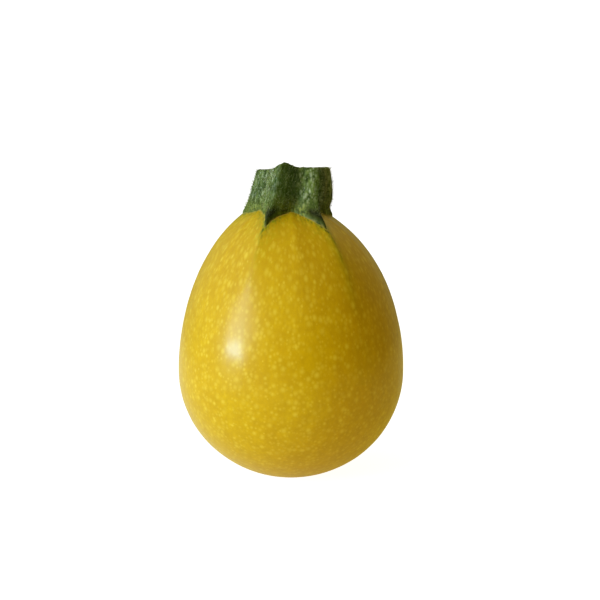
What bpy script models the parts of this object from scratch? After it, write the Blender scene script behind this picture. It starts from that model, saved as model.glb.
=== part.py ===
"""Round zucchini: a plump yellow fruit and the green stub of its cut stem.

Metres, +Z up. The origin is the middle of the small flat spot that the fruit rests on.
Azimuths are counted round +Z from the front (-Y) towards the right (+X).
"""

import math

import bmesh
import bpy
from mathutils import Vector

# Fruit: two half-ellipses turned about the upright axis, cut flat at the blossom end
BODY_RADIUS = 0.042
LOWER_HEIGHT = 0.0402
UPPER_HEIGHT = 0.0615
REST_RADIUS = 0.009
WIDEST_Z = LOWER_HEIGHT * math.sqrt(1 - (REST_RADIUS / BODY_RADIUS) ** 2)
CROWN_SHIFT = -0.0014
CROWN_TILT = 0.045
CROWN_POWER = 6.0
CROWN_RISE = 0.0012
CROWN_RADIUS = 0.015

# Ribs: corners of the five-sided shoulder, which fade out towards the widest level
RIB_COUNT = 5
FRONT_PANEL = math.radians(6)
RIB_DRIFT = 1.05
RIB_HEIGHT = 0.0026
RIB_STRENGTH = (1.0, 1.0, 0.6, 0.8, 0.85)
RIB_HEIGHT_AT_WAIST = 0.0001
RIB_FADE_POWER = 2.4
RIB_WIDTH = 0.24
RIB_SOFTNESS = 0.025
RIB_MEAN = 0.28
MINOR_RIB_SHARE = 0.3
MINOR_RIB_WIDTH = 0.13

# Stem: a fluted stub whose ridges carry on the ribs of the fruit
CREST_RADIUS = 0.0149
GROOVE_RADIUS = 0.0122
TOP_TAPER = 0.875
TOP_TAPER_POWER = 2.5
TUCK_DEPTH = 0.0009
TUCK_RISE = 0.11
TUCK_WIDTH = 0.12
RIDGE_ROUNDNESS = 0.8
STEM_TOP_Z = 0.1146
STEM_LEAN = 0.0024
STEM_TWIST = math.radians(4)
TOP_DRIFT = 0.45
SETTLE_POWER = 2.5
FOOT_FLARE = 0.0003
FOOT_FLARE_POWER = 3
LOBE_REACH = (0.0058, 0.0070, 0.0014, 0.0048, 0.0012)
LOBE_TURN = 0.015
LOBE_WIDTH_LEFT = (0.06, 0.14, 0.08, 0.08, 0.08)
LOBE_WIDTH_RIGHT = (0.09, 0.06, 0.08, 0.08, 0.08)
LOBE_POWER = 9
FOOT_EDGE = 0.00045
LEFT_RIM_DROP = 0.0008
HUMP_HEIGHT = 0.0019
HUMP_AZIMUTH = math.radians(-16)
HUMP_WIDTH = math.radians(14)
RIM_BEVEL = 0.0006
PITH_DEPTH = 0.0010
PITH_FLATNESS = 3
CONTACT_GAP = 0.0003

# Colours, and how rough each surface is
SKIN_COLOUR = (0.72, 0.47, 0.02)
SKIN_ROUGHNESS = 0.3
STEM_COLOUR = (0.07, 0.11, 0.03)
STEM_ROUGHNESS = 0.6

# Mesh steps: columns crowd towards the ribs, and the stem's rings towards its foot
COLUMNS_PER_RIB = 16
COLUMN_CROWDING = 0.5
LOWER_RINGS = 10
UPPER_RINGS = 17
CROWN_RINGS = 3
UNDERSIDE_RINGS = 5
WALL_RINGS = 11
WALL_CROWDING = 1.8
CUT_RINGS = 4
SHARP_EDGE = math.radians(35)
NEWTON_STEPS = 8


def rib_turns(azimuth, drift=RIB_DRIFT):
    """Rises by one from each rib to the next, and is a whole number on the rib itself."""
    from_panel = azimuth - FRONT_PANEL
    return (RIB_COUNT * from_panel + drift * math.sin(from_panel)) / math.tau + 0.5


def azimuth_of(turns):
    """The azimuth at which rib_turns gives this value, by Newton's method."""
    from_panel = (turns - 0.5) * math.tau / RIB_COUNT
    for _ in range(NEWTON_STEPS):
        miss = rib_turns(from_panel + FRONT_PANEL) - turns
        slope = (RIB_COUNT + RIB_DRIFT * math.cos(from_panel)) / math.tau
        from_panel -= miss / slope
    return from_panel + FRONT_PANEL


def columns():
    """The azimuths of the mesh's columns, closer together near each rib."""
    azimuths = []
    for rib in range(RIB_COUNT):
        for step in range(COLUMNS_PER_RIB):
            share = step / COLUMNS_PER_RIB
            share -= COLUMN_CROWDING * math.sin(math.tau * share) / math.tau
            azimuths.append(azimuth_of(rib + share))
    return azimuths


def crest(distance, width, softness):
    """A ridge across its line: 1 on it, with a slightly rounded top, falling off on both sides."""
    return math.exp(-(math.hypot(distance, softness) - softness) / width)


def rib_relief(azimuth):
    """How far the section stands out at this azimuth, as a share of the rib's height."""
    turns = rib_turns(azimuth)
    rib = round(turns)
    from_rib = abs(turns - rib)
    at_panel = crest(0.5, RIB_WIDTH, RIB_SOFTNESS)
    main = (crest(from_rib, RIB_WIDTH, RIB_SOFTNESS) - at_panel) / (1 - at_panel)
    minor = crest(0.5 - from_rib, MINOR_RIB_WIDTH, RIB_SOFTNESS)
    return RIB_STRENGTH[rib % RIB_COUNT] * main + MINOR_RIB_SHARE * minor - RIB_MEAN


def outward(azimuth, along, up):
    """The point this far out from the upright axis, and this far up it."""
    return Vector((along * math.sin(azimuth), -along * math.cos(azimuth), up))


def fruit_point(azimuth, level, lift=0.0):
    """A point of the skin, or one lifted off it. level runs from the widest ring, 0, to the pole, pi/2."""
    sine, cosine = math.sin(level), math.cos(level)
    semi_axis = UPPER_HEIGHT if sine > 0 else LOWER_HEIGHT
    normal = Vector((cosine / BODY_RADIUS, sine / semi_axis)).normalized()
    if sine > 0:
        rib_height = RIB_HEIGHT_AT_WAIST + (RIB_HEIGHT - RIB_HEIGHT_AT_WAIST) * sine**RIB_FADE_POWER
        rib_height *= min(1.0, BODY_RADIUS * cosine / GROOVE_RADIUS)
    else:
        rest_sine = WIDEST_Z / LOWER_HEIGHT
        rib_height = RIB_HEIGHT_AT_WAIST * (1 - (sine / rest_sine) ** 2)
    push = lift + rib_height * rib_relief(azimuth)
    along = BODY_RADIUS * cosine + push * normal.x
    up = WIDEST_Z + semi_axis * sine + push * normal.y
    point = outward(azimuth, along, up)
    if sine > 0:
        crown = sine**CROWN_POWER
        point.z += CROWN_RISE * math.exp(-((BODY_RADIUS * cosine / CROWN_RADIUS) ** 4))
        point.z -= CROWN_TILT * crown * point.x
        point.x += CROWN_SHIFT * crown
    return point


def level_at(radius):
    """The level at which the smooth upper profile has this radius."""
    return math.acos(radius / BODY_RADIUS)


def neck_radius(azimuth, rise):
    """Radius of the stem's fluted section, rise being 0 at the foot and 1 at the cut."""
    settled = 1 - (1 - rise) ** SETTLE_POWER
    turns = rib_turns(azimuth - STEM_TWIST * settled, RIB_DRIFT + (TOP_DRIFT - RIB_DRIFT) * settled)
    ridge = (0.5 + 0.5 * math.cos(math.tau * turns)) ** RIDGE_ROUNDNESS
    taper = 1 - (1 - TOP_TAPER) * rise**TOP_TAPER_POWER
    tuck = TUCK_DEPTH * math.exp(-(((rise - TUCK_RISE) / TUCK_WIDTH) ** 2))
    tuck *= 0.5 + 0.5 * math.sin(azimuth)
    return (GROOVE_RADIUS + (CREST_RADIUS - GROOVE_RADIUS) * ridge) * taper - tuck


def lobe_reach(azimuth):
    """How far the pointed lobe just right of the nearest rib reaches past the foot."""
    turns = rib_turns(azimuth) - LOBE_TURN
    rib = round(turns)
    widths = LOBE_WIDTH_LEFT if turns < rib else LOBE_WIDTH_RIGHT
    width = widths[rib % RIB_COUNT]
    between = crest(0.5, width, RIB_SOFTNESS)
    flank = (crest(abs(turns - rib), width, RIB_SOFTNESS) - between) / (1 - between)
    return LOBE_REACH[rib % RIB_COUNT] * flank


def rim_height(azimuth):
    """Height of the cut edge: lower on the left, with one hump at the front."""
    hump = math.exp(-(((azimuth - HUMP_AZIMUTH + math.pi) % math.tau - math.pi) / HUMP_WIDTH) ** 2)
    return STEM_TOP_Z + HUMP_HEIGHT * hump + LEFT_RIM_DROP * min(0.0, math.sin(azimuth))


def underside_point(azimuth, share):
    """A point of the stem's underside, share being 0 on the axis and 1 at the edge of the foot."""
    radius = (neck_radius(azimuth, 0.0) + FOOT_FLARE + lobe_reach(azimuth)) * share
    return fruit_point(azimuth, level_at(radius), CONTACT_GAP)


def wall_point(azimuth, rise):
    """A point of the stem's side, rise being 0 at the edge of the foot and 1 at the cut."""
    neck = neck_radius(azimuth, rise)
    radius = neck + FOOT_FLARE * (1 - rise) ** FOOT_FLARE_POWER
    radius += lobe_reach(azimuth) * (1 - rise) ** LOBE_POWER
    lift = CONTACT_GAP + FOOT_EDGE
    base = fruit_point(azimuth, level_at(radius), lift)
    height = rim_height(azimuth) - fruit_point(azimuth, level_at(neck), lift).z
    return base + Vector((STEM_LEAN * rise * (2 - rise), 0, height * rise))


def cut_point(azimuth, share):
    """A point of the cut face, share being 1 at its edge and 0 in the middle of the pith."""
    edge = wall_point(azimuth, 1.0)
    middle = Vector((CROWN_SHIFT + STEM_LEAN, 0, STEM_TOP_Z - PITH_DEPTH))
    point = middle.lerp(edge, share * (1 - RIM_BEVEL / GROOVE_RADIUS))
    point.z = middle.z + (edge.z - middle.z) * share**PITH_FLATNESS
    return point


def ring(point_at, *place):
    """The points of one ring of the mesh, a point on each column."""
    return [point_at(azimuth, *place) for azimuth in columns()]


def closed_object(name, rings, material):
    """One closed mesh through the rings, from the lowest to the highest, with flat ends."""
    bm = bmesh.new()
    loops = [[bm.verts.new(point) for point in points] for points in rings]
    for lower, upper in zip(loops, loops[1:]):
        for here in range(len(lower)):
            after = (here + 1) % len(lower)
            bm.faces.new((lower[here], lower[after], upper[after], upper[here]))
    bm.faces.new(reversed(loops[0]))
    bm.faces.new(loops[-1])
    bmesh.ops.triangulate(bm, faces=bm.faces[:])
    mesh = bpy.data.meshes.new(name)
    bm.to_mesh(mesh)
    bm.free()
    mesh.materials.append(material)
    mesh.shade_smooth()
    mesh.set_sharp_from_angle(angle=SHARP_EDGE)
    obj = bpy.data.objects.new(name, mesh)
    bpy.context.scene.collection.objects.link(obj)
    return obj


def plant_material(name, colour, roughness):
    """A surface of the plant: its colour and how rough it is."""
    material = bpy.data.materials.new(name)
    material.use_nodes = True
    surface = material.node_tree.nodes["Principled BSDF"]
    surface.inputs["Base Color"].default_value = (*colour, 1.0)
    surface.inputs["Roughness"].default_value = roughness
    surface.inputs["Metallic"].default_value = 0.0
    return material


def build_fruit():
    """The whole fruit, from its flat spot up to the crown under the stem."""
    rest_level = -math.acos(REST_RADIUS / BODY_RADIUS)
    seat_level = level_at(GROOVE_RADIUS)
    lower = [rest_level * (1 - step / LOWER_RINGS) for step in range(LOWER_RINGS)]
    upper = [seat_level * step / UPPER_RINGS for step in range(UPPER_RINGS + 1)]
    shares = [1 - (step + 1) / (CROWN_RINGS + 1) for step in range(CROWN_RINGS)]
    crown = [level_at(GROOVE_RADIUS * share) for share in shares]
    rings = [ring(fruit_point, level) for level in lower + upper + crown]
    skin = plant_material("yellow skin", SKIN_COLOUR, SKIN_ROUGHNESS)
    return closed_object("fruit", rings, skin)


def build_stem():
    """The stub, from its underside out to the foot's edge, up its side and in over the cut."""
    bevel_rise = RIM_BEVEL / (STEM_TOP_Z - fruit_point(0.0, level_at(GROOVE_RADIUS)).z)
    shares = [(step + 1) / UNDERSIDE_RINGS for step in range(UNDERSIDE_RINGS)]
    rises = [(1 - bevel_rise) * (step / WALL_RINGS) ** WALL_CROWDING for step in range(WALL_RINGS + 1)]
    rings = [ring(underside_point, share) for share in shares]
    rings += [ring(wall_point, rise) for rise in rises]
    rings += [ring(cut_point, 1 - step / CUT_RINGS) for step in range(CUT_RINGS)]
    return closed_object("stem", rings, plant_material("green stem", STEM_COLOUR, STEM_ROUGHNESS))


for leftover in list(bpy.data.objects):
    bpy.data.objects.remove(leftover)
build_fruit()
build_stem()
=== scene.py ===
import math

import bpy
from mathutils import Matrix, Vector


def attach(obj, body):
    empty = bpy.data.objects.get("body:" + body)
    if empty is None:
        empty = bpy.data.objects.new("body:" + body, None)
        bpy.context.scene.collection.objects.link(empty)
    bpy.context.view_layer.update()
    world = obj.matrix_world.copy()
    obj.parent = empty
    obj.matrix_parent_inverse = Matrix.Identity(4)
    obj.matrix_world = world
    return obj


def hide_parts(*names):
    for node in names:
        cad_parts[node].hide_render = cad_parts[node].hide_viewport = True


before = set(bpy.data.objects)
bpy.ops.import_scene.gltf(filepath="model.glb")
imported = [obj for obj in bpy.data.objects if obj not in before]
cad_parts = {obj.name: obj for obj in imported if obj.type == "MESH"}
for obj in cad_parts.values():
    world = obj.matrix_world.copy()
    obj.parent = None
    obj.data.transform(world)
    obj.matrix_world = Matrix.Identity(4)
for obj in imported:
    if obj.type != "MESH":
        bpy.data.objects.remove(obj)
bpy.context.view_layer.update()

# A round zucchini, ripe yellow, cut from its plant with a stub of green stem left on.
# Metres, +Z up. The origin is the middle of the flat spot that it rests on, and azimuths are
# counted round +Z from the front (-Y) towards the right (+X). A pair of numbers is a range: where a
# fade starts and where it ends, or the least and the most.


# Fruit: flesh and skin grown as one plump body, widest low down, with five soft corners at the
# shoulder that run up into the stem's ridges. The skin is thin, waxy and full of small pale specks.
# Underneath, the flower has left a round corky scar in the flat spot.
BODY_RADIUS = 0.042
LOWER_HEIGHT = 0.0402
UPPER_HEIGHT = 0.0615
REST_RADIUS = 0.009
REST_SINE = math.sqrt(1 - (REST_RADIUS / BODY_RADIUS) ** 2)
WIDEST_Z = LOWER_HEIGHT * REST_SINE
CROWN_SHIFT = -0.0014
CROWN_TILT = 0.045
CROWN_POWER = 6.0
CROWN_RISE = 0.0012
CROWN_RADIUS = 0.015
RIB_COUNT = 5
FRONT_PANEL = math.radians(6)
RIB_DRIFT = 1.05
RIB_HEIGHT = 0.0026
RIB_STRENGTH = (1.0, 1.0, 0.6, 0.8, 0.85)
RIB_HEIGHT_AT_WAIST = 0.0001
RIB_FADE_POWER = 2.4
RIB_WIDTH = 0.24
RIB_SOFTNESS = 0.025
CREST_HALF_WAY = RIB_SOFTNESS - math.hypot(0.5, RIB_SOFTNESS)
RIB_MEAN = 0.28
MINOR_RIB_SHARE = 0.3
MINOR_RIB_WIDTH = 0.13
NEAR_RIB_WIDTH = 0.16
RIB_LINE_WIDTH = 0.05
RIB_LINE_TINT = (0.05, 0.8, 0.2, 0.5, 0.3)
SEAT_RADIUS = 0.0122
UNEVENNESS = 0.00022
DENTS_PER_METRE = 55.0
UNEVEN_FROM_Z = (0.001, 0.009)
UNEVEN_FROM_RADIUS = (0.019, 0.028)
SCAR_RADIUS = 0.0052
SCAR_FLAT_SHARE = 0.82
SCAR_DEPTH = 0.0007
SCAR_CRACKS_PER_METRE = 900.0
SCAR_CRACK_EDGE = (0.42, 0.6)
PATTERN_STRETCH = 4.2
FRUIT_SEGMENTS = 360
FRUIT_RINGS = 248

SOCKET_KINDS = {
    type(None): "NodeSocketGeometry",
    int: "NodeSocketInt",
    float: "NodeSocketFloat",
    tuple: "NodeSocketVector",
}


class Reading:
    """A value that a node tree works out at every point. Signs between readings add Math nodes."""

    def __init__(self, socket):
        self.socket = socket
        self.tree = socket.id_data

    def __add__(self, other):
        return maths("ADD", self, other)

    def __radd__(self, other):
        return maths("ADD", other, self)

    def __sub__(self, other):
        return maths("SUBTRACT", self, other)

    def __rsub__(self, other):
        return maths("SUBTRACT", other, self)

    def __mul__(self, other):
        return maths("MULTIPLY", self, other)

    def __rmul__(self, other):
        return maths("MULTIPLY", other, self)

    def __truediv__(self, other):
        return maths("DIVIDE", self, other)

    def __rtruediv__(self, other):
        return maths("DIVIDE", other, self)

    def __pow__(self, other):
        return maths("POWER", self, other)


def feed(socket, value):
    """Gives a node's input a reading or a plain value."""
    if isinstance(value, Reading):
        socket.id_data.links.new(value.socket, socket)
    else:
        socket.default_value = value


def maths(operation, *values):
    """One Math node on these readings and numbers."""
    tree = next(value.tree for value in values if isinstance(value, Reading))
    node = tree.nodes.new("ShaderNodeMath")
    node.operation = operation
    for socket, value in zip(node.inputs, values):
        feed(socket, value)
    return Reading(node.outputs[0])


def add_node(tree, kind, inputs, **settings):
    """A node with its settings made and its named inputs fed, as a list of readings of its outputs."""
    node = tree.nodes.new(kind)
    for name, value in settings.items():
        setattr(node, name, value)
    sockets = {socket.name: socket for socket in reversed(node.inputs) if socket.enabled}
    for name, value in inputs.items():
        feed(sockets[name], value)
    return [Reading(socket) for socket in node.outputs if socket.enabled]


def open_tree(name, kind, inputs, outputs):
    """A new node tree with named inputs and outputs: the tree, readings of the inputs, and its end."""
    tree = bpy.data.node_groups.new(name, kind)
    for label, value in inputs.items():
        socket_kind = SOCKET_KINDS[type(value)]
        socket = tree.interface.new_socket(label, in_out="INPUT", socket_type=socket_kind)
        if value is not None:
            socket.default_value = value
    for label, socket_kind in outputs.items():
        tree.interface.new_socket(label, in_out="OUTPUT", socket_type=socket_kind)
    begin = tree.nodes.new("NodeGroupInput")
    end = tree.nodes.new("NodeGroupOutput")
    given = {label: Reading(begin.outputs[label]) for label in inputs}
    return tree, given, {label: end.inputs[label] for label in outputs}


def place_group(tree, group, inputs):
    """A group placed in another tree, as readings of its outputs by name."""
    kind = "ShaderNodeGroup" if group.bl_idname == "ShaderNodeTree" else "GeometryNodeGroup"
    node = tree.nodes.new(kind)
    node.node_tree = group
    for label, value in inputs.items():
        feed(node.inputs[label], value)
    return {socket.name: Reading(socket) for socket in node.outputs}


def sine(angle):
    return maths("SINE", angle)


def cosine(angle):
    return maths("COSINE", angle)


def clamped(value):
    """Kept between 0 and 1."""
    return maths("MINIMUM", maths("MAXIMUM", value, 0.0), 1.0)


def either(choice, yes, no):
    """yes where choice is 1 and no where it is 0."""
    return no + (yes - no) * choice


def fade(value, start, end):
    """Eases from 0 at start to 1 at end."""
    inputs = {"Value": value, "From Min": start, "From Max": end, "To Min": 0.0, "To Max": 1.0}
    settings = {"data_type": "FLOAT", "interpolation_type": "SMOOTHSTEP"}
    return add_node(value.tree, "ShaderNodeMapRange", inputs, **settings)[0]


def vector(x, y, z):
    """Three readings as one place."""
    tree = next(value.tree for value in (x, y, z) if isinstance(value, Reading))
    return add_node(tree, "ShaderNodeCombineXYZ", {"X": x, "Y": y, "Z": z})[0]


def split(place):
    """A place as three readings."""
    return add_node(place.tree, "ShaderNodeSeparateXYZ", {"Vector": place})


def noise(place, per_metre, detail=2.0, roughness=0.5):
    """Soft noise between 0 and 1, with this many swells to the metre."""
    inputs = {"Vector": place, "Scale": per_metre, "Detail": detail, "Roughness": roughness}
    return add_node(place.tree, "ShaderNodeTexNoise", inputs)[0]


def rib_turns(azimuth, drift=RIB_DRIFT):
    """Rises by one from each rib to the next, and is a whole number on the rib itself."""
    from_panel = azimuth - FRONT_PANEL
    return (from_panel * RIB_COUNT + sine(from_panel) * drift) / math.tau + 0.5


def crest(distance, width):
    """A ridge across its line: 1 on it, with a slightly rounded top, falling off on both sides."""
    softened = maths("SQRT", distance * distance + RIB_SOFTNESS**2)
    return maths("EXPONENT", (RIB_SOFTNESS - softened) / width)


def bell(value, middle, width):
    """1 at the middle, falling off softly on both sides."""
    return maths("EXPONENT", ((value - middle) / width) ** 2.0 * -1.0)


def falls_off(distance, reach):
    """1 at no distance, and a little over a third of that at this reach."""
    return maths("EXPONENT", distance / -reach)


def for_rib(amounts, rib):
    """The amount that belongs to this rib."""
    number = maths("FLOORED_MODULO", rib, float(RIB_COUNT))
    parts = [maths("COMPARE", number, float(index), 0.5) * value for index, value in enumerate(amounts)]
    return sum(parts[1:], parts[0])


def nearest_rib(azimuth):
    """The number of the nearest rib, and how far off it this azimuth is."""
    turns = rib_turns(azimuth)
    rib = maths("ROUND", turns)
    return rib, maths("ABSOLUTE", turns - rib)


def round_axis(azimuth, along, up):
    """The place this far out from the upright axis, and this far up it."""
    return vector(along * sine(azimuth), along * cosine(azimuth) * -1.0, up)


def fruit_surface_group():
    """Group: a place on the skin, or lifted off it, by azimuth and by level above the widest ring."""
    sizes = {
        "Body radius": BODY_RADIUS,
        "Lower height": LOWER_HEIGHT,
        "Upper height": UPPER_HEIGHT,
        "Rib height": RIB_HEIGHT,
        "Rib height at waist": RIB_HEIGHT_AT_WAIST,
        "Crown tilt": CROWN_TILT,
        "Crown rise": CROWN_RISE,
    }
    inputs = {"Azimuth": 0.0, "Level": 0.0, "Lift": 0.0, **sizes}
    tree, given, end = open_tree(
        "fruit surface", "GeometryNodeTree", inputs, {"Place": "NodeSocketVector"}
    )
    azimuth, level, lift = given["Azimuth"], given["Level"], given["Lift"]
    body_radius, rib_height = given["Body radius"], given["Rib height"]
    rise, reach = sine(level), cosine(level)
    above = maths("GREATER_THAN", rise, 0.0)
    semi_axis = either(above, given["Upper height"], given["Lower height"])
    slope = maths("ARCTAN2", rise / semi_axis, reach / body_radius)
    at_waist = given["Rib height at waist"]
    shoulder = at_waist + (rib_height - at_waist) * maths("MAXIMUM", rise, 0.0) ** RIB_FADE_POWER
    shoulder = shoulder * maths("MINIMUM", body_radius * reach / SEAT_RADIUS, 1.0)
    belly = at_waist * maths("MAXIMUM", 1.0 - (rise / REST_SINE) ** 2.0, 0.0)
    rib, from_rib = nearest_rib(azimuth)
    at_panel = math.exp(CREST_HALF_WAY / RIB_WIDTH)
    main = (crest(from_rib, RIB_WIDTH) - at_panel) / (1 - at_panel)
    minor = crest(0.5 - from_rib, MINOR_RIB_WIDTH)
    relief = for_rib(RIB_STRENGTH, rib) * main + minor * MINOR_RIB_SHARE - RIB_MEAN
    push = lift + either(above, shoulder, belly) * relief
    along = body_radius * reach + push * cosine(slope)
    up = WIDEST_Z + semi_axis * rise + push * sine(slope)
    crown = maths("MAXIMUM", rise, 0.0) ** CROWN_POWER
    dome = maths("EXPONENT", (body_radius * reach / CROWN_RADIUS) ** 4.0 * -1.0)
    x, y, z = split(round_axis(azimuth, along, up))
    z = z + given["Crown rise"] * dome * above - given["Crown tilt"] * crown * x
    feed(end["Place"], vector(x + crown * CROWN_SHIFT, y, maths("MAXIMUM", z, 0.0)))
    return tree


def store(geometry, name, value, kind="FLOAT"):
    """Keeps a reading on the mesh's points under a name that the material reads."""
    inputs = {"Geometry": geometry, "Name": name, "Value": value}
    settings = {"data_type": kind, "domain": "POINT"}
    return add_node(geometry.tree, "GeometryNodeStoreNamedAttribute", inputs, **settings)[0]


def finish_tree(geometry, material, end):
    """The tree's last steps: smooth shading, real faces in place of copies, and the material."""
    tree = geometry.tree
    smooth = add_node(tree, "GeometryNodeSetShadeSmooth", {"Geometry": geometry})[0]
    real = add_node(tree, "GeometryNodeRealizeInstances", {"Geometry": smooth})[0]
    inputs = {"Geometry": real, "Material": material}
    feed(end["Geometry"], add_node(tree, "GeometryNodeSetMaterial", inputs)[0])


def ball(tree, segments, rings):
    """A closed ball whose points a tree then sets: its mesh, azimuth, and share of the way up."""
    inputs = {"Segments": segments, "Rings": rings, "Radius": 1.0}
    mesh = add_node(tree, "GeometryNodeMeshUVSphere", inputs)[0]
    x, y, z = split(add_node(tree, "GeometryNodeInputPosition", {})[0])
    tangent = maths("ARCTAN2", z, maths("SQRT", x * x + y * y))
    return mesh, maths("ARCTAN2", x, y * -1.0), tangent / math.pi + 0.5


def grown_piece(name, tree, sizes, start=None):
    """The mesh that a Geometry Nodes tree makes with these sizes, as a plain object at the origin."""
    piece = bpy.data.objects.new(name, start or bpy.data.meshes.new(name))
    bpy.context.scene.collection.objects.link(piece)
    modifier = piece.modifiers.new(tree.name, "NODES")
    modifier.node_group = tree
    for item in tree.interface.items_tree:
        if item.in_out == "INPUT" and item.name in sizes:
            modifier[item.identifier] = sizes[item.name]
    depsgraph = bpy.context.evaluated_depsgraph_get()
    grown = bpy.data.meshes.new_from_object(
        piece.evaluated_get(depsgraph), preserve_all_data_layers=True, depsgraph=depsgraph
    )
    piece.modifiers.clear()
    piece.data = grown
    grown.name = name
    return piece


def ridge_turns(azimuth, rise):
    """Like rib_turns, for the stem's ridges, rise being 0 at the foot and 1 at the cut."""
    settled = 1.0 - (1.0 - rise) ** SETTLE_POWER
    return rib_turns(azimuth - settled * STEM_TWIST, settled * (TOP_DRIFT - RIB_DRIFT) + RIB_DRIFT)


def neck_radius(azimuth, rise):
    """Radius of the stem's fluted section."""
    ridge = (cosine(ridge_turns(azimuth, rise) * math.tau) * 0.5 + 0.5) ** RIDGE_ROUNDNESS
    taper = 1.0 - rise**TOP_TAPER_POWER * (1 - TOP_TAPER)
    tuck = bell(rise, TUCK_RISE, TUCK_WIDTH) * TUCK_DEPTH * (sine(azimuth) * 0.5 + 0.5)
    return (ridge * (CREST_RADIUS - GROOVE_RADIUS) + GROOVE_RADIUS) * taper - tuck


def lobe_reach(azimuth):
    """How far the pointed lobe just right of the nearest rib reaches past the foot of the stem."""
    turns = rib_turns(azimuth) - LOBE_TURN
    rib = maths("ROUND", turns)
    on_left = maths("LESS_THAN", turns, rib)
    width = either(on_left, for_rib(LOBE_WIDTH_LEFT, rib), for_rib(LOBE_WIDTH_RIGHT, rib))
    between = maths("EXPONENT", CREST_HALF_WAY / width)
    flank = (crest(turns - rib, width) - between) / (1.0 - between)
    return for_rib(LOBE_REACH, rib) * flank


# The stem's sizes are here too, because its foot colours the skin round it
CREST_RADIUS = 0.0149
GROOVE_RADIUS = SEAT_RADIUS
TOP_TAPER = 0.875
TOP_TAPER_POWER = 2.5
TUCK_DEPTH = 0.0009
TUCK_RISE = 0.11
TUCK_WIDTH = 0.12
RIDGE_ROUNDNESS = 0.8
STEM_TWIST = math.radians(4)
TOP_DRIFT = 0.45
SETTLE_POWER = 2.5
FOOT_FLARE = 0.0003
LOBE_REACH = (0.0058, 0.0070, 0.0014, 0.0048, 0.0012)
LOBE_TURN = 0.015
LOBE_WIDTH_LEFT = (0.06, 0.14, 0.08, 0.08, 0.08)
LOBE_WIDTH_RIGHT = (0.09, 0.06, 0.08, 0.08, 0.08)


def fruit_tree(surface, material):
    """The fruit: a closed ball moved onto the skin, with what the skin's colours follow."""
    sizes = {"Segments": FRUIT_SEGMENTS, "Rings": FRUIT_RINGS, "Body radius": BODY_RADIUS,
             "Unevenness": UNEVENNESS, "Scar radius": SCAR_RADIUS, "Scar depth": SCAR_DEPTH}
    tree, given, end = open_tree(
        "grow fruit", "GeometryNodeTree", sizes, {"Geometry": "NodeSocketGeometry"}
    )
    mesh, azimuth, share = ball(tree, given["Segments"], given["Rings"])
    level = (share - 0.5) * math.pi
    body_radius = given["Body radius"]
    smooth = place_group(tree, surface, {"Azimuth": azimuth, "Level": level, "Body radius": body_radius})
    x, y, z = split(smooth["Place"])
    along = maths("SQRT", x * x + y * y)
    open_skin = fade(z, *UNEVEN_FROM_Z) * fade(along, *UNEVEN_FROM_RADIUS)
    uneven = (noise(smooth["Place"], DENTS_PER_METRE) - 0.5) * 2.0 * given["Unevenness"] * open_skin
    shaped = place_group(
        tree, surface,
        {"Azimuth": azimuth, "Level": level, "Lift": uneven, "Body radius": body_radius},
    )
    x, y, z = split(shaped["Place"])
    under = 1.0 - maths("GREATER_THAN", z, WIDEST_Z)
    scar_radius = given["Scar radius"]
    scar = (1.0 - fade(along, scar_radius * SCAR_FLAT_SHARE, scar_radius)) * under
    cracked = noise(shaped["Place"], SCAR_CRACKS_PER_METRE, 3.0) * 0.6 + 0.5
    z = z + given["Scar depth"] * scar * cracked
    rib, from_rib = nearest_rib(azimuth)
    reach = body_radius * cosine(level)
    no_rise = azimuth * 0.0
    foot = neck_radius(azimuth, no_rise) + FOOT_FLARE + lobe_reach(azimuth)
    from_foot = reach - foot + under
    rib_line = crest(from_rib, RIB_LINE_WIDTH) * for_rib(RIB_LINE_TINT, rib)
    squeezed = body_radius * either(under, cosine(level), maths("SQRT", cosine(level)))
    over = maths("MAXIMUM", z - WIDEST_Z, 0.0)
    pattern = round_axis(azimuth, squeezed, z - over * over * PATTERN_STRETCH)
    geometry = store(mesh, "from_foot", from_foot)
    geometry = store(geometry, "rib_line", rib_line)
    geometry = store(geometry, "near_rib", crest(from_rib, NEAR_RIB_WIDTH))
    geometry = store(geometry, "scar", scar)
    geometry = store(geometry, "pattern", pattern, "FLOAT_VECTOR")
    inputs = {"Geometry": geometry, "Position": vector(x, y, z)}
    geometry = add_node(tree, "GeometryNodeSetPosition", inputs)[0]
    finish_tree(geometry, material, end)
    return tree, sizes


def reads(tree, name):
    """A number kept on the mesh, in a material."""
    return add_node(tree, "ShaderNodeAttribute", {}, attribute_name=name)[2]


def reads_place(tree, name):
    """A place kept on the mesh, in a material."""
    return add_node(tree, "ShaderNodeAttribute", {}, attribute_name=name)[1]


def mixed(factor, first, second):
    """A colour between two, 0 being the first."""
    tree = next(value.tree for value in (factor, first, second) if isinstance(value, Reading))
    inputs = {"Factor": factor, "A": first, "B": second}
    return add_node(tree, "ShaderNodeMix", inputs, data_type="RGBA")[0]


def specks_group():
    """Group: scattered specks, drawn out along +Z, each with its own size and strength."""
    inputs = {"Place": (0.0, 0.0, 0.0), "Per metre": 400.0, "Stretch": 1.0, "Size": 0.3,
              "Softness": 0.5}
    tree, given, end = open_tree("specks", "ShaderNodeTree", inputs, {"Mask": "NodeSocketFloat"})
    x, y, z = split(given["Place"])
    place = vector(x, y, z / given["Stretch"])
    cell = {"Vector": place, "Scale": given["Per metre"], "Randomness": 1.0}
    distance, draw, _ = add_node(tree, "ShaderNodeTexVoronoi", cell)
    size_draw, strength_draw, _ = split(draw)
    edge = given["Size"] * (size_draw * 0.5 + 0.5)
    spot = 1.0 - fade(distance, edge * (1.0 - given["Softness"]), edge)
    feed(end["Mask"], spot * (strength_draw * 0.6 + 0.4))
    return tree


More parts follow.
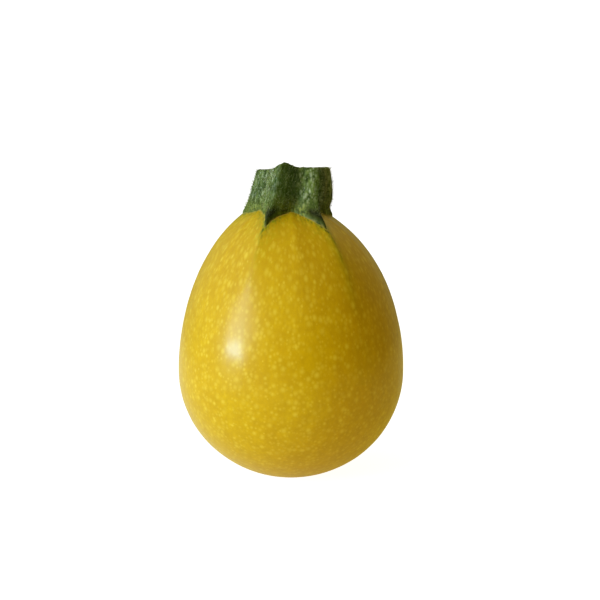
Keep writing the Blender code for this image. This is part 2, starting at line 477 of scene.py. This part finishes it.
def mottle_group():
    """Group: soft cloudy patches, drawn out along +Z by the stretch, between 0 and 1."""
    inputs = {"Place": (0.0, 0.0, 0.0), "Per metre": 60.0, "Stretch": 1.0, "Contrast": 1.0}
    tree, given, end = open_tree("mottle", "ShaderNodeTree", inputs, {"Mask": "NodeSocketFloat"})
    x, y, z = split(given["Place"])
    cloud = noise(vector(x, y, z / given["Stretch"]), given["Per metre"], 3.0)
    mask = (cloud - 0.5) * given["Contrast"] + 0.5
    feed(end["Mask"], clamped(mask))
    return tree


specks = specks_group()
mottle = mottle_group()


def speckled(place, per_metre, size, softness, stretch=1.0):
    """Specks of this pattern in a material."""
    inputs = {"Place": place, "Per metre": per_metre, "Stretch": stretch, "Size": size,
              "Softness": softness}
    return place_group(place.tree, specks, inputs)["Mask"]


def clouded(place, per_metre, contrast, stretch=1.0):
    """Cloudy patches of this pattern in a material."""
    inputs = {"Place": place, "Per metre": per_metre, "Stretch": stretch, "Contrast": contrast}
    return place_group(place.tree, mottle, inputs)["Mask"]


SKIN_YELLOW = (0.70, 0.455, 0.002, 1.0)
SKIN_LEMON = (0.73, 0.52, 0.005, 1.0)
SKIN_AMBER = (0.61, 0.36, 0.002, 1.0)
SKIN_DEEP = (0.52, 0.31, 0.002, 1.0)
SPECK_CREAM = (0.92, 0.76, 0.11, 1.0)
FOOT_GREEN = (0.26, 0.30, 0.008, 1.0)
STAIN_GREEN = (0.07, 0.10, 0.008, 1.0)
FOOT_RIM = (0.62, 0.44, 0.16, 1.0)
SCAR_CORK = (0.34, 0.22, 0.10, 1.0)
SCAR_DARK = (0.10, 0.055, 0.02, 1.0)

# Patterns in the skin, and how much of a colour each one brings in
SKIN_CLOUDS = {"per_metre": 45.0, "contrast": 2.2}
SKIN_PATCHES = {"per_metre": 110.0, "contrast": 2.2, "stretch": 2.5}
SKIN_BLOTCHES = {"per_metre": 260.0, "contrast": 3.0, "stretch": 1.3}
SKIN_STREAKS = {"per_metre": 420.0, "contrast": 2.4, "stretch": 7.0}
SKIN_GRAIN = {"per_metre": 900.0, "contrast": 3.0, "stretch": 1.4}
LARGE_SPECKS = {"per_metre": 440.0, "size": 0.72, "softness": 1.0}
SMALL_SPECKS = {"per_metre": 640.0, "size": 0.62, "softness": 1.0}
FOOT_STAINS = {"per_metre": 900.0, "size": 0.8, "softness": 0.6, "stretch": 2.0}
LEMON_CLOUDS = 0.6
AMBER_PATCHES = 0.45
AMBER_STREAKS = 0.2
DEEP_BLOTCHES = 0.36
DEEP_SHOULDER_STREAKS = 0.4
DEEP_GRAIN = 0.32
DEEP_SHOULDER_GRAIN = 0.2
LARGE_SPECK_STRENGTH = 0.42
SMALL_SPECK_STRENGTH = 0.33
SHOULDER_SPECK_GAIN = 0.12
FOOT_RIM_STRENGTH = 0.6

# Where the shoulder's and the ribs' colours fade in, and how far the stem's green spreads
SHOULDER_Z = (0.048, 0.078)
RIB_LINE_Z = (0.055, 0.085)
FOOT_RIM_REACH = (0.0002, 0.0008)
GREEN_REACH = 0.0022
STAIN_REACH = 0.0024
TINGE_REACH = 0.009


def open_material(name):
    """A new material, as its node tree and the inputs of its Principled shader."""
    material = bpy.data.materials.new(name)
    material.use_nodes = True
    return material, material.node_tree, material.node_tree.nodes["Principled BSDF"].inputs


def skin_material():
    """Waxy yellow skin: cloudy yellows, pale specks, green by the stem and cork on the scar."""
    material, tree, surface = open_material("zucchini skin")
    place = reads_place(tree, "pattern")
    near_rib, scar = reads(tree, "near_rib"), reads(tree, "scar")
    from_foot = reads(tree, "from_foot")
    away = maths("MAXIMUM", from_foot, 0.0)
    z = split(place)[2]
    shoulder = fade(z, *SHOULDER_Z)
    clouds, grain = clouded(place, **SKIN_CLOUDS), clouded(place, **SKIN_GRAIN)
    streaks = clouded(place, **SKIN_STREAKS)
    colour = mixed(clouds * LEMON_CLOUDS, SKIN_YELLOW, SKIN_LEMON)
    colour = mixed(clouded(place, **SKIN_PATCHES) * AMBER_PATCHES, colour, SKIN_AMBER)
    colour = mixed(streaks * AMBER_STREAKS, colour, SKIN_AMBER)
    colour = mixed((1.0 - streaks) * shoulder * DEEP_SHOULDER_STREAKS, colour, SKIN_DEEP)
    colour = mixed((1.0 - clouded(place, **SKIN_BLOTCHES)) * DEEP_BLOTCHES, colour, SKIN_DEEP)
    colour = mixed((1.0 - grain) * (shoulder * DEEP_SHOULDER_GRAIN + DEEP_GRAIN), colour, SKIN_DEEP)
    large = speckled(place, **LARGE_SPECKS) * LARGE_SPECK_STRENGTH
    small = speckled(place, **SMALL_SPECKS) * SMALL_SPECK_STRENGTH
    speck = maths("MAXIMUM", large, small) * (shoulder * SHOULDER_SPECK_GAIN + 1.0)
    colour = mixed(speck, colour, SPECK_CREAM)
    green = falls_off(away, GREEN_REACH) * (near_rib * 0.5 + 0.3) * (grain * 0.9 + 0.6)
    green = green + falls_off(away, TINGE_REACH) * streaks * grain * (near_rib * 0.6 + 0.4)
    rib_green = reads(tree, "rib_line") * fade(z, *RIB_LINE_Z) * (streaks * 0.5 + 0.4)
    colour = mixed(maths("MAXIMUM", green, rib_green), colour, FOOT_GREEN)
    stains = speckled(place, **FOOT_STAINS) * falls_off(away, STAIN_REACH) * (near_rib * 0.8 + 0.6)
    colour = mixed(clamped(stains), colour, STAIN_GREEN)
    rim = (1.0 - fade(from_foot, *FOOT_RIM_REACH)) * clouds * FOOT_RIM_STRENGTH
    colour = mixed(rim, colour, FOOT_RIM)
    cracks = noise(place, SCAR_CRACKS_PER_METRE, 4.0, 0.6)
    colour = mixed(scar, colour, mixed(fade(cracks, *SCAR_CRACK_EDGE), SCAR_DARK, SCAR_CORK))
    feed(surface["Base Color"], colour)
    feed(surface["Roughness"], either(scar, 0.8, streaks * 0.06 + 0.29))
    surface["Specular IOR Level"].default_value = 0.3
    surface["Coat Weight"].default_value = 0.3
    surface["Coat Roughness"].default_value = 0.18
    height = speck * 0.5 + streaks * 0.25 + cracks * scar * 4.0
    bump = {"Height": height, "Strength": 0.5, "Distance": 0.0001}
    feed(surface["Normal"], add_node(tree, "ShaderNodeBump", bump)[0])
    return material


fruit_surface = fruit_surface_group()
fruit_growth, fruit_sizes = fruit_tree(fruit_surface, skin_material())
fruit = grown_piece("fruit_skin", fruit_growth, fruit_sizes)
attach(fruit, "root")
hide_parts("fruit")


# Stem: the tough five-cornered stub that the fruit hung from. It is fibrous and ridged, spreads on
# the shoulder in pointed lobes, one down each rib, and was cut across with a knife, which left a
# small hump of rind standing at the front.
STEM_TOP_Z = 0.1146
STEM_LEAN = 0.0024
FOOT_FLARE_POWER = 3.0
LOBE_POWER = 9.0
FOOT_EDGE = 0.00045
FOOT_SUNK = 0.0003
FOOT_EDGE_WALL = (0.0, 0.16)
LEFT_RIM_DROP = 0.0008
HUMP_HEIGHT = 0.0019
HUMP_AZIMUTH = math.radians(-16)
HUMP_WIDTH = math.radians(14)
RIM_BEVEL = 0.0006
PITH_DEPTH = 0.0010
PITH_FLATNESS = 3.0
WALL_CROWDING = 1.8
STEM_SEGMENTS = 360
UNDERSIDE_RINGS = 12
WALL_RINGS = 104
RIM_RINGS = 6
CUT_RINGS = 28
STEM_RINGS = UNDERSIDE_RINGS + WALL_RINGS + RIM_RINGS + CUT_RINGS
CORD_HEIGHT = 0.00028
CORDS_PER_METRE = 190.0
CORD_PATTERN_HEIGHT = 0.006
KNOB_HEIGHT = 0.0003
KNOBS_PER_METRE = 420.0
KNOB_PATTERN_HEIGHT = 0.012
ROUGH_FROM_RISE = (0.02, 0.2)
RAGGED_EDGE = 0.0009
RAGS_PER_METRE = 480.0
RIM_WAVE_HEIGHT = 0.0005
RIM_WAVES_PER_METRE = 420.0
CUT_FIBRE_HEIGHT = 0.0004
CUT_FIBRES_PER_METRE = 900.0
CUT_FIBRES_FROM_RIM = (1.2, 1.5)
CUT_FIBRES_FROM_MIDDLE = (0.0, 0.1)
CUT_FROM_RIM = (0.6, 1.5)
# How much painted shade darkens the side of each ridge away from the light, rib by rib
RIDGE_PAINTED_SHADE = (1.0, 1.0, 0.6, 0.7, 0.35)

# Near-black: painted shade over the lobes and painted shadow just above the foot
RIND_PAINTED_SHADE = (0.008, 0.012, 0.003, 1.0)
RIND_GREEN = (0.016, 0.050, 0.001, 1.0)
RIND_OLIVE = (0.105, 0.130, 0.005, 1.0)
RIND_LEAF = (0.18, 0.25, 0.075, 1.0)
RIND_PALE = (0.50, 0.57, 0.44, 1.0)
RIND_STRAW = (0.45, 0.50, 0.12, 1.0)
CUT_FLESH = (0.34, 0.38, 0.12, 1.0)
CUT_PITH = (0.52, 0.52, 0.26, 1.0)
CUT_RIND = (0.06, 0.10, 0.02, 1.0)

RIND_CLOUDS = {"per_metre": 150.0, "contrast": 2.0}
RIND_FLECKS = {"per_metre": 700.0, "contrast": 3.6, "stretch": 2.0}
RIND_DASHES = {"per_metre": 800.0, "size": 0.62, "softness": 0.6, "stretch": 2.0}
RIND_DOTS = {"per_metre": 1400.0, "size": 0.62, "softness": 0.6, "stretch": 1.5}
DASH_STRENGTH = 0.85
DOT_STRENGTH = 0.7
FLESH_FIBRES_PER_METRE = 1400.0

# The olive foot, the painted shade over each lobe, the painted shadow line below it and the pale edge:
# where each lies, as shares of the stem's height or of the longest lobe, and how strong it is
FOOT_RISE = (0.05, 0.4)
PLAIN_LOBE = (0.0, 0.4)
CREASE_SHADE_RISE = 0.075
CREASE_SHADE_WIDTH = 0.055
CREASE_SHADE_LOBE = (0.1, 0.5)
CREASE_SHADE_STRENGTH = 0.9
SEAM_SHADOW_RISE = 0.045
SEAM_SHADOW_WIDTH = 0.02
SEAM_SHADOW_STRENGTH = 0.6
SEAM_SHADOW_GAPS_PER_METRE = 500.0
SEAM_SHADOW_GAP_EDGE = (0.35, 0.6)
EDGE_RISE = (0.005, 0.02)
EDGE_STRENGTH = 0.3
EDGE_GAPS_PER_METRE = 330.0
EDGE_GAP_EDGE = (0.4, 0.62)

# The parts of the cut face, by how far out they lie: 0 in its middle and 1 at its rim
PITH_OUTWARD = (0.75, 0.25)
CUT_RIND_OUTWARD = (0.86, 0.97)


def side_radius(azimuth, rise, neck, around, cords, given):
    """Radius of the stem's side: its neck, flared foot and lobes, with rough rind and a ragged edge."""
    left = 1.0 - rise
    radius = neck + left**FOOT_FLARE_POWER * FOOT_FLARE + lobe_reach(azimuth) * left**LOBE_POWER
    knobs = noise(round_axis(azimuth, neck, rise * KNOB_PATTERN_HEIGHT), KNOBS_PER_METRE) - 0.5
    rough = cords * given["Cord height"] + knobs * given["Knob height"]
    ragged = (noise(around, RAGS_PER_METRE, 3.0) - 0.5) * given["Ragged edge"] * left**LOBE_POWER
    return radius + rough * 2.0 * fade(rise, *ROUGH_FROM_RISE) + ragged * 2.0


def rim_height(azimuth, around, given):
    """Height of the wavy rim, which is a little lower on the left and has the hump at the front."""
    from_hump = maths("WRAP", azimuth - HUMP_AZIMUTH, math.pi, -math.pi) / HUMP_WIDTH
    rim_z = given["Top height"] + maths("MINIMUM", sine(azimuth), 0.0) * LEFT_RIM_DROP
    rim_z = rim_z + given["Hump height"] * maths("EXPONENT", from_hump * from_hump * -1.0)
    return rim_z + (noise(around, RIM_WAVES_PER_METRE) - 0.5) * RIM_WAVE_HEIGHT


def painted_ridge_light(azimuth, rise):
    """Painted light and shade: 1 on the side of each ridge towards the light, down to 0 on its far side.
    """
    turns = ridge_turns(azimuth, rise)
    on_right = 0.5 - sine(turns * -math.tau) * 0.5
    shade = (1.0 - (1.0 - on_right) ** 2.0) * for_rib(RIDGE_PAINTED_SHADE, maths("FLOOR", turns + 0.25))
    return 1.0 - shade


def stem_tree(surface, material):
    """The stem: a closed ball whose rings become its underside, side, rim and cut face."""
    sizes = {"Segments": STEM_SEGMENTS, "Rings": STEM_RINGS, "Body radius": BODY_RADIUS,
             "Top height": STEM_TOP_Z, "Hump height": HUMP_HEIGHT, "Cord height": CORD_HEIGHT,
             "Knob height": KNOB_HEIGHT, "Ragged edge": RAGGED_EDGE}
    tree, given, end = open_tree(
        "grow stem", "GeometryNodeTree", sizes, {"Geometry": "NodeSocketGeometry"}
    )
    mesh, azimuth, share = ball(tree, given["Segments"], given["Rings"])
    ring = share * given["Rings"]
    body_radius = given["Body radius"]
    underside = clamped(ring / UNDERSIDE_RINGS)
    up_wall = clamped((ring - UNDERSIDE_RINGS) / WALL_RINGS)
    rounding = clamped((ring - (UNDERSIDE_RINGS + WALL_RINGS)) / RIM_RINGS) * (math.pi / 2)
    outward = 1.0 - clamped((ring - (STEM_RINGS - CUT_RINGS)) / CUT_RINGS)
    crown_z = WIDEST_Z + UPPER_HEIGHT * math.sqrt(1 - (GROOVE_RADIUS / BODY_RADIUS) ** 2)
    bevel_rise = RIM_BEVEL / (STEM_TOP_Z - crown_z)
    rise = up_wall**WALL_CROWDING * (1 - bevel_rise) + sine(rounding) * bevel_rise
    neck = neck_radius(azimuth, rise)
    pattern_height = rise * CORD_PATTERN_HEIGHT
    around = vector(sine(azimuth) * BODY_RADIUS, cosine(azimuth) * BODY_RADIUS, pattern_height)
    cords = noise(around, CORDS_PER_METRE, 3.0) - 0.5
    radius = side_radius(azimuth, rise, neck, around, cords, given)
    lift = either(fade(up_wall, *FOOT_EDGE_WALL), FOOT_EDGE, -FOOT_SUNK)
    level = maths("ARCCOSINE", radius * underside / body_radius)
    level_at_neck = maths("ARCCOSINE", neck / body_radius)
    base = place_group(
        tree, surface,
        {"Azimuth": azimuth, "Level": level, "Lift": lift, "Body radius": body_radius},
    )
    under_neck = place_group(
        tree, surface,
        {"Azimuth": azimuth, "Level": level_at_neck, "Lift": FOOT_EDGE, "Body radius": body_radius},
    )
    x, y, z = split(base["Place"])
    neck_z = split(under_neck["Place"])[2]
    x = x + rise * (2.0 - rise) * STEM_LEAN
    z = z + (rim_height(azimuth, around, given) - neck_z) * rise
    shrink = outward * (1.0 - (1.0 - cosine(rounding)) * (RIM_BEVEL / GROOVE_RADIUS))
    middle_x = CROWN_SHIFT + STEM_LEAN
    middle_z = given["Top height"] - PITH_DEPTH
    x = (x - middle_x) * shrink + middle_x
    y = y * shrink
    z = (z - middle_z) * outward**PITH_FLATNESS + middle_z
    fibres = noise(vector(x, y, z * 0.0), CUT_FIBRES_PER_METRE, 3.0) - 0.5
    fibres = fibres * CUT_FIBRE_HEIGHT * fade(rounding, *CUT_FIBRES_FROM_RIM)
    z = z + fibres * fade(outward, *CUT_FIBRES_FROM_MIDDLE)
    cut = fade(rounding, *CUT_FROM_RIM)
    geometry = store(mesh, "rise", rise * underside)
    geometry = store(geometry, "cut", cut)
    geometry = store(geometry, "outward", outward)
    geometry = store(geometry, "cords", cords)
    # Painted light and shade across each ridge, kept for the rind's colour
    geometry = store(geometry, "painted_lit_side", painted_ridge_light(azimuth, rise))
    geometry = store(geometry, "lobe", lobe_reach(azimuth) / max(LOBE_REACH))
    inputs = {"Geometry": geometry, "Position": vector(x, y, z)}
    geometry = add_node(tree, "GeometryNodeSetPosition", inputs)[0]
    finish_tree(geometry, material, end)
    return tree, sizes


def on_object(tree):
    """The place on the object itself, in a material."""
    return add_node(tree, "ShaderNodeTexCoord", {})[3]


def rind_material():
    """Stem rind: dark green with pale upright flecks, olive at the foot, moist pale cut flesh, and
    painted light and shade.
    """
    material, tree, surface = open_material("stem rind")
    place = on_object(tree)
    rise, cut, outward = reads(tree, "rise"), reads(tree, "cut"), reads(tree, "outward")
    cords, painted_lit_side, lobe = reads(tree, "cords"), reads(tree, "painted_lit_side"), reads(tree, "lobe")
    flecks = clouded(place, **RIND_FLECKS)
    dashes, dots = speckled(place, **RIND_DASHES), speckled(place, **RIND_DOTS)
    foot = 1.0 - fade(rise, *FOOT_RISE)
    olive = clouded(place, **RIND_CLOUDS) * 0.35 + foot * (1.0 - lobe) * 0.6
    colour = mixed(olive, RIND_GREEN, RIND_OLIVE)
    plain = foot * fade(lobe, *PLAIN_LOBE)
    # Paleness from the rind's own cords, plus painted light on the side of each ridge towards the light
    paleness_and_painted_light = clamped((cords * 1.2 + painted_lit_side * 0.85) * (1.0 - plain * 0.85))
    colour = mixed(clamped(flecks * (paleness_and_painted_light * 1.1 + 0.15)), colour, RIND_LEAF)
    pale = maths("MAXIMUM", dashes * DASH_STRENGTH, dots * DOT_STRENGTH) * (paleness_and_painted_light * 0.85 + 0.15)
    colour = mixed(pale, colour, mixed(foot, RIND_PALE, RIND_STRAW))
    # Painted shade over each lobe (partly dark green of its own) and a broken painted shadow above the
    # foot
    crease_shade = bell(rise, CREASE_SHADE_RISE, CREASE_SHADE_WIDTH) * fade(lobe, *CREASE_SHADE_LOBE) * CREASE_SHADE_STRENGTH
    seam_shadow_gaps = fade(noise(place, SEAM_SHADOW_GAPS_PER_METRE), *SEAM_SHADOW_GAP_EDGE)
    seam_shadow = bell(rise, SEAM_SHADOW_RISE, SEAM_SHADOW_WIDTH) * seam_shadow_gaps * SEAM_SHADOW_STRENGTH
    colour = mixed(maths("MAXIMUM", crease_shade, seam_shadow), colour, RIND_PAINTED_SHADE)
    edge_gaps = fade(noise(place, EDGE_GAPS_PER_METRE), *EDGE_GAP_EDGE)
    edge = (1.0 - fade(rise, *EDGE_RISE)) * edge_gaps * EDGE_STRENGTH
    colour = mixed(edge, colour, FOOT_RIM)
    fibres = noise(place, FLESH_FIBRES_PER_METRE, 3.0)
    flesh = mixed(fade(outward, *PITH_OUTWARD), CUT_FLESH, CUT_PITH)
    flesh = mixed(fibres * 0.4, flesh, CUT_FLESH)
    flesh = mixed(fade(outward, *CUT_RIND_OUTWARD), flesh, CUT_RIND)
    colour = mixed(cut, colour, flesh)
    feed(surface["Base Color"], colour)
    feed(surface["Roughness"], either(cut, 0.42, 0.55 - pale * 0.12))
    surface["Specular IOR Level"].default_value = 0.3
    height = flecks * 0.5 + dashes * 0.5 + dots * 0.3 + fibres * cut
    bump = {"Height": height, "Strength": 0.35, "Distance": 0.0002}
    feed(surface["Normal"], add_node(tree, "ShaderNodeBump", bump)[0])
    return material


stem_growth, stem_sizes = stem_tree(fruit_surface, rind_material())
stem = grown_piece("stem_stub", stem_growth, stem_sizes)
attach(stem, "root")
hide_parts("stem")


# Bristles: short stiff hairs all over the stem's side, pale with some greener ones, each one growing
# out of the rind and leaning a little upwards.
BRISTLES_PER_SQUARE_METRE = 6000000.0
BRISTLE_SPACING = 0.0004
BRISTLE_LENGTH = 0.0011
BRISTLE_RADIUS = 0.00007
BRISTLE_SIDES = 3
BRISTLE_TIP_SHARE = 0.2
BRISTLE_SUNK_SHARE = 0.15
BRISTLE_SCALES = (0.55, 1.25)
BRISTLE_UPWARD = 0.35
BRISTLES_ABOVE_RISE = 0.06
BRISTLES_BELOW_CUT = 0.05
BRISTLE_SEED = 11
BRISTLE_PALE = (0.58, 0.60, 0.38, 1.0)
BRISTLE_GREEN = (0.08, 0.13, 0.03, 1.0)
BRISTLE_CLOUDS = {"per_metre": 300.0, "contrast": 3.0}


def bristle_material():
    """Pale hairs, with patches of greener ones."""
    material, tree, surface = open_material("stem bristle")
    clouds = clouded(on_object(tree), **BRISTLE_CLOUDS)
    feed(surface["Base Color"], mixed(clouds, BRISTLE_GREEN, BRISTLE_PALE))
    surface["Roughness"].default_value = 0.45
    return material


def bristle_tree(material):
    """Bristles scattered over a copy of the stem's mesh."""
    sizes = {"Density": BRISTLES_PER_SQUARE_METRE, "Spacing": BRISTLE_SPACING,
             "Length": BRISTLE_LENGTH, "Radius": BRISTLE_RADIUS, "Seed": BRISTLE_SEED}
    tree, given, end = open_tree(
        "grow bristles", "GeometryNodeTree", {"Geometry": None, **sizes},
        {"Geometry": "NodeSocketGeometry"},
    )
    rise = add_node(tree, "GeometryNodeInputNamedAttribute", {"Name": "rise"}, data_type="FLOAT")[0]
    cut = add_node(tree, "GeometryNodeInputNamedAttribute", {"Name": "cut"}, data_type="FLOAT")[0]
    above_foot = maths("GREATER_THAN", rise, BRISTLES_ABOVE_RISE)
    on_side = above_foot * maths("LESS_THAN", cut, BRISTLES_BELOW_CUT)
    inputs = {"Mesh": given["Geometry"], "Distance Min": given["Spacing"],
              "Density Max": given["Density"], "Density Factor": on_side, "Seed": given["Seed"]}
    points, normal, _ = add_node(
        tree, "GeometryNodeDistributePointsOnFaces", inputs, distribute_method="POISSON"
    )
    x, y, z = split(normal)
    inputs = {"Vector": vector(x, y, z + BRISTLE_UPWARD)}
    upright = add_node(tree, "FunctionNodeAlignRotationToVector", inputs, axis="Z")[0]
    inputs = {"Vertices": BRISTLE_SIDES, "Radius Top": given["Radius"] * BRISTLE_TIP_SHARE,
              "Radius Bottom": given["Radius"], "Depth": given["Length"]}
    hair = add_node(tree, "GeometryNodeMeshCone", inputs, fill_type="TRIANGLE_FAN")[0]
    root = vector(0.0, 0.0, given["Length"] * -BRISTLE_SUNK_SHARE)
    hair = add_node(tree, "GeometryNodeTransform", {"Geometry": hair, "Translation": root})[0]
    least, most = BRISTLE_SCALES
    draw = {"Min": least, "Max": most, "Seed": given["Seed"]}
    size = add_node(tree, "FunctionNodeRandomValue", draw, data_type="FLOAT")[0]
    inputs = {"Points": points, "Instance": hair, "Rotation": upright, "Scale": vector(size, size, size)}
    hairs = add_node(tree, "GeometryNodeInstanceOnPoints", inputs)[0]
    finish_tree(hairs, material, end)
    return tree, sizes


bristle_growth, bristle_sizes = bristle_tree(bristle_material())
bristles = grown_piece("stem_bristles", bristle_growth, bristle_sizes, stem.data.copy())
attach(bristles, "root")


# Table: a plain pale round surface that fades out into the white of the studio round it, and throws
# soft light up at the fruit, whiter on its left and yellower on its right. Seen from below it isn't
# there, so that the underside shows.
WHITE = (1.0, 1.0, 1.0, 1.0)
TABLE_RADIUS = 0.9
TABLE_SIDES = 96
TABLE_FADE_START = 0.25
TABLE_PALE = (0.42, 0.43, 0.50, 1.0)
TABLE_GLOW_SEEN = 0.78
TABLE_GLOW_ON_FRUIT = 0.4
TABLE_GLOW_TURNS_X = (-0.09, 0.07)
TABLE_GLOW_LEFT = (1.14, 1.08, 0.76, 1.0)
TABLE_GLOW_RIGHT = (0.80, 0.64, 0.03, 1.0)


def table_material():
    """Matt pale surface, clear towards its rim and from below."""
    material, tree, surface = open_material("pale table")
    x, y, _ = split(on_object(tree))
    far = fade(maths("SQRT", x * x + y * y), TABLE_FADE_START, TABLE_RADIUS)
    behind = add_node(tree, "ShaderNodeNewGeometry", {})[6]
    surface["Base Color"].default_value = TABLE_PALE
    surface["Roughness"].default_value = 0.9
    surface["Specular IOR Level"].default_value = 0.1
    seen = add_node(tree, "ShaderNodeLightPath", {})[0]
    tint = mixed(fade(x, *TABLE_GLOW_TURNS_X), TABLE_GLOW_LEFT, TABLE_GLOW_RIGHT)
    feed(surface["Emission Color"], mixed(seen, tint, WHITE))
    feed(surface["Emission Strength"], either(seen, TABLE_GLOW_SEEN, TABLE_GLOW_ON_FRUIT))
    feed(surface["Alpha"], (1.0 - far) * (1.0 - behind))
    return material


def round_table():
    """The table's top, as one flat disc facing up."""
    mesh = bpy.data.meshes.new("table")
    turns = [math.tau * side / TABLE_SIDES for side in range(TABLE_SIDES)]
    corners = [(TABLE_RADIUS * math.cos(turn), TABLE_RADIUS * math.sin(turn), 0.0) for turn in turns]
    mesh.from_pydata(corners, [], [range(TABLE_SIDES)])
    mesh.materials.append(table_material())
    table = bpy.data.objects.new("table", mesh)
    bpy.context.scene.collection.objects.link(table)
    return table


round_table()


# Light: a white room that glows from the front left and from above, and more faintly from the right
# and from behind, white on the left and yellowish elsewhere. A flat oval lamp low on the left gives
# the highlight, and a big dim one above it the glow along the rib.
ROOM_WHITE = 0.98
ROOM_DIM = 0.01
ROOM_TINT = (1.02, 0.905, 0.36, 1.0)
ROOM_WHITENS_LEFTWARDS = (0.3, 0.8)

# The way to each glow, where it fades in, and its strength
ROOM_GLOWS = (
    ((-0.70, -0.53, 0.48), 0.13, 0.62),
    ((-0.12, -0.48, 0.87), 0.3, 0.31),
    ((0.72, 0.55, 0.42), 0.75, 0.18),
    ((-0.83, 0.55, 0.10), 0.6, 0.14),
    ((0.0, 0.95, 0.30), 0.3, 0.30),
)
LAMP_AIM = Vector((0.0, 0.0, 0.055))


def soft_lamp(name, azimuth, elevation, distance, width, height, power, colour):
    """An oval lamp this way from the fruit, facing it."""
    data = bpy.data.lights.new(name, "AREA")
    data.shape = "ELLIPSE"
    data.size, data.size_y = width, height
    data.energy = power
    data.color = colour
    lamp = bpy.data.objects.new(name, data)
    turn, lift = math.radians(azimuth), math.radians(elevation)
    way = Vector((math.sin(turn) * math.cos(lift), -math.cos(turn) * math.cos(lift), math.sin(lift)))
    lamp.location = LAMP_AIM + way * distance
    lamp.rotation_euler = (-way).to_track_quat("-Z", "Y").to_euler()
    bpy.context.scene.collection.objects.link(lamp)


def white_room():
    """White to look at, while the fruit is lit by a few soft glows."""
    room = bpy.data.worlds.new("white room")
    room.use_nodes = True
    tree = room.node_tree
    seen = add_node(tree, "ShaderNodeLightPath", {})[0]
    x, y, z = split(add_node(tree, "ShaderNodeTexCoord", {})[0])
    light = ROOM_DIM
    for (way_x, way_y, way_z), start, strength in ROOM_GLOWS:
        towards = x * way_x + y * way_y + z * way_z
        light = fade(towards, start, 1.0) * strength + light
    background = tree.nodes["Background"].inputs
    whiteness = maths("MAXIMUM", seen, fade(x * -1.0, *ROOM_WHITENS_LEFTWARDS))
    feed(background["Color"], mixed(whiteness, ROOM_TINT, WHITE))
    feed(background["Strength"], either(seen, ROOM_WHITE, light))
    bpy.context.scene.world = room


white_room()
soft_lamp(
    "highlight lamp", azimuth=-57.6, elevation=5.0, distance=1.05,
    width=0.46, height=0.06, power=2.6, colour=(0.43, 0.75, 1.0),
)
soft_lamp(
    "tall lamp", azimuth=-55.0, elevation=20.0, distance=1.1,
    width=0.64, height=0.74, power=4.1, colour=(0.82, 0.95, 1.0),
)


# Camera: level with the top of the stem and looking slightly down at the fruit, which stands a little
# left of the middle of the picture.
CAMERA_DISTANCE = 0.40
CAMERA_HEIGHT = 0.1163
CAMERA_TILT = math.radians(7.25)
FOCAL_LENGTH_PX = 1080.0
IMAGE_WIDTH_PX = 600.0
BODY_AXIS_PX = 291.0
SENSOR_WIDTH = 36.0
NEAREST_SEEN = 0.01

camera_data = bpy.data.cameras.new("camera")
camera_data.sensor_width = SENSOR_WIDTH
camera_data.lens = SENSOR_WIDTH * FOCAL_LENGTH_PX / IMAGE_WIDTH_PX
camera_data.clip_start = NEAREST_SEEN
camera = bpy.data.objects.new("camera", camera_data)
camera_x = (IMAGE_WIDTH_PX / 2 - BODY_AXIS_PX) / FOCAL_LENGTH_PX * CAMERA_DISTANCE
camera.location = (camera_x, -CAMERA_DISTANCE, CAMERA_HEIGHT)
camera.rotation_euler = (math.pi / 2 - CAMERA_TILT, 0.0, 0.0)
bpy.context.scene.collection.objects.link(camera)
bpy.context.scene.camera = camera
bpy.context.scene.view_settings.view_transform = "Standard"
bpy.context.scene.view_settings.look = "Medium High Contrast"
